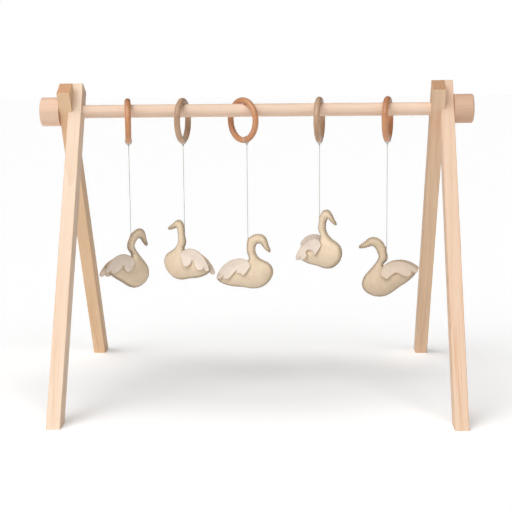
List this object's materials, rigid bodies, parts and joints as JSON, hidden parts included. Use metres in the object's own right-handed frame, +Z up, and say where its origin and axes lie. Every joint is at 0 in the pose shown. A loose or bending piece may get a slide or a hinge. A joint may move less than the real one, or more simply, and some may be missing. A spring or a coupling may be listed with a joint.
{
  "type": "activity play gym",
  "caption": "Free-standing wooden play gym: crossed-leg end frames, a round crossbar with end knobs, and stuffed felt swans hung on strings from sliding wooden rings.",
  "frame": {"origin": "on the floor, at the middle of the gym's footprint", "axes": "+X along the crossbar, +Y from front to back, +Z up"},
  "size_m": [0.66, 0.5008, 0.474],
  "materials": {
    "leg_wood": "planed pine, clear, edges just broken",
    "bar_wood": "turned dowel, fine straight grain, sanded",
    "knob_wood": "turned hardwood, end grain on the face",
    "ring_wood_warm": "turned and oiled, satin, orange brown",
    "ring_wood_dull": "turned and oiled, satin, grey brown",
    "string": "twisted cotton string, off-white",
    "body_felt": "wool felt, cream",
    "wing_felt": "wool felt, off-white",
    "filling": "loose fibre filling",
    "screw_metal": "zinc plated",
    "insert_metal": "plain brass"
  },
  "bodies": {
    "frame": {"crossbar": "bar_wood", "end_screws": "screw_metal", "outer_leg_left": "leg_wood", "inner_leg_left": "leg_wood", "outer_leg_right": "leg_wood", "inner_leg_right": "leg_wood"},
    "knob_left": {"knob_left": "knob_wood", "knob_insert_left": "insert_metal"},
    "knob_right": {"knob_right": "knob_wood", "knob_insert_right": "insert_metal"},
    "ring_1": {"ring_1": "ring_wood_warm"},
    "loop_1": {"string_loop_1": "string"},
    "string_1": {"string_1": "string"},
    "swan_1": {"swan_1_felt_left": "body_felt", "swan_1_felt_right": "body_felt", "stuffing_1": "filling", "swan_1_wing_left": "wing_felt", "swan_1_wing_right": "wing_felt"},
    "ring_2": {"ring_2": "ring_wood_dull"},
    "loop_2": {"string_loop_2": "string"},
    "string_2": {"string_2": "string"},
    "swan_2": {"swan_2_felt_left": "body_felt", "swan_2_felt_right": "body_felt", "stuffing_2": "filling", "swan_2_wing_left": "wing_felt", "swan_2_wing_right": "wing_felt"},
    "ring_3": {"ring_3": "ring_wood_warm"},
    "loop_3": {"string_loop_3": "string"},
    "string_3": {"string_3": "string"},
    "swan_3": {"swan_3_felt_left": "body_felt", "swan_3_felt_right": "body_felt", "stuffing_3": "filling", "swan_3_wing_left": "wing_felt", "swan_3_wing_right": "wing_felt"},
    "ring_4": {"ring_4": "ring_wood_dull"},
    "loop_4": {"string_loop_4": "string"},
    "string_4": {"string_4": "string"},
    "swan_4": {"swan_4_felt_left": "body_felt", "swan_4_felt_right": "body_felt", "stuffing_4": "filling", "swan_4_wing_left": "wing_felt", "swan_4_wing_right": "wing_felt"},
    "ring_5": {"ring_5": "ring_wood_warm"},
    "loop_5": {"string_loop_5": "string"},
    "string_5": {"string_5": "string"},
    "swan_5": {"swan_5_felt_left": "body_felt", "swan_5_felt_right": "body_felt", "stuffing_5": "filling", "swan_5_wing_left": "wing_felt", "swan_5_wing_right": "wing_felt"}
  },
  "joints": [
    {"name": "knob_left_turn", "type": "hinge", "parent": "frame", "child": "knob_left", "pos_m": [-0.3, 0, 0.431], "axis": [-1, 0, 0], "continuous": true},
    {"name": "knob_right_turn", "type": "hinge", "parent": "frame", "child": "knob_right", "pos_m": [0.3, 0, 0.431], "axis": [1, 0, 0], "continuous": true},
    {"name": "ring_1_slide", "type": "slide", "parent": "frame", "child": "ring_1", "axis": [1, 0, 0], "range_m": [-0.04, 0.008]},
    {"name": "loop_1_sway", "type": "hinge", "parent": "ring_1", "child": "loop_1", "pos_m": [-0.197, 0, 0.3854], "axis": [-0.1478, 0.989, 0], "range_deg": [-3.5, 10]},
    {"name": "string_1_swing", "type": "hinge", "parent": "loop_1", "child": "string_1", "pos_m": [-0.197, 0, 0.3786], "axis": [1, 0, 0], "range_deg": [-45, 45]},
    {"name": "swan_1_spin", "type": "hinge", "parent": "string_1", "child": "swan_1", "pos_m": [-0.197, 0, 0.2397], "axis": [0, 0, 1], "range_deg": [-120, 110]},
    {"name": "ring_2_slide", "type": "slide", "parent": "frame", "child": "ring_2", "axis": [1, 0, 0], "range_m": [-0.013, 0.007]},
    {"name": "loop_2_sway", "type": "hinge", "parent": "ring_2", "child": "loop_2", "pos_m": [-0.1126, 0, 0.3854], "axis": [0.1788, 0.9839, 0], "range_deg": [-2.1, 4]},
    {"name": "string_2_swing", "type": "hinge", "parent": "loop_2", "child": "string_2", "pos_m": [-0.1126, 0, 0.3786], "axis": [1, 0, 0], "range_deg": [-45, 45]},
    {"name": "swan_2_spin", "type": "hinge", "parent": "string_2", "child": "swan_2", "pos_m": [-0.1126, 0, 0.2457], "axis": [0, 0, 1], "continuous": true},
    {"name": "ring_3_slide", "type": "slide", "parent": "frame", "child": "ring_3", "axis": [1, 0, 0], "range_m": [-0.007, 0.02]},
    {"name": "loop_3_sway", "type": "hinge", "parent": "ring_3", "child": "loop_3", "pos_m": [-0.0149, -0.00545, 0.3863], "axis": [-0.6493, 0.7211, -0.2419], "range_deg": [-9, 2.6]},
    {"name": "string_3_swing", "type": "hinge", "parent": "loop_3", "child": "string_3", "pos_m": [-0.01379, -0.00667, 0.3797], "axis": [1, 0, 0], "range_deg": [-45, 45]},
    {"name": "swan_3_spin", "type": "hinge", "parent": "string_3", "child": "swan_3", "pos_m": [-0.01379, -0.00667, 0.2333], "axis": [0, 0, 1], "continuous": true},
    {"name": "ring_4_slide", "type": "slide", "parent": "frame", "child": "ring_4", "axis": [1, 0, 0], "range_m": [-0.02, 0.018]},
    {"name": "loop_4_sway", "type": "hinge", "parent": "ring_4", "child": "loop_4", "pos_m": [0.0972, 0, 0.3854], "axis": [0.1513, 0.9885, 0], "range_deg": [-7.5, 8.5]},
    {"name": "string_4_swing", "type": "hinge", "parent": "loop_4", "child": "string_4", "pos_m": [0.0972, 0, 0.3786], "axis": [1, 0, 0], "range_deg": [-45, 45]},
    {"name": "swan_4_spin", "type": "hinge", "parent": "string_4", "child": "swan_4", "pos_m": [0.0972, 0, 0.2658], "axis": [0, 0, 1], "continuous": true},
    {"name": "ring_5_slide", "type": "slide", "parent": "frame", "child": "ring_5", "axis": [1, 0, 0], "range_m": [-0.018, 0.034]},
    {"name": "loop_5_sway", "type": "hinge", "parent": "ring_5", "child": "loop_5", "pos_m": [0.201, 0, 0.3854], "axis": [0.2045, 0.9789, 0], "range_deg": [-10, 6]},
    {"name": "string_5_swing", "type": "hinge", "parent": "loop_5", "child": "string_5", "pos_m": [0.201, 0, 0.3786], "axis": [1, 0, 0], "range_deg": [-45, 45]},
    {"name": "swan_5_spin", "type": "hinge", "parent": "string_5", "child": "swan_5", "pos_m": [0.201, 0, 0.2164], "axis": [0, 0, 1], "continuous": true}
  ]
}
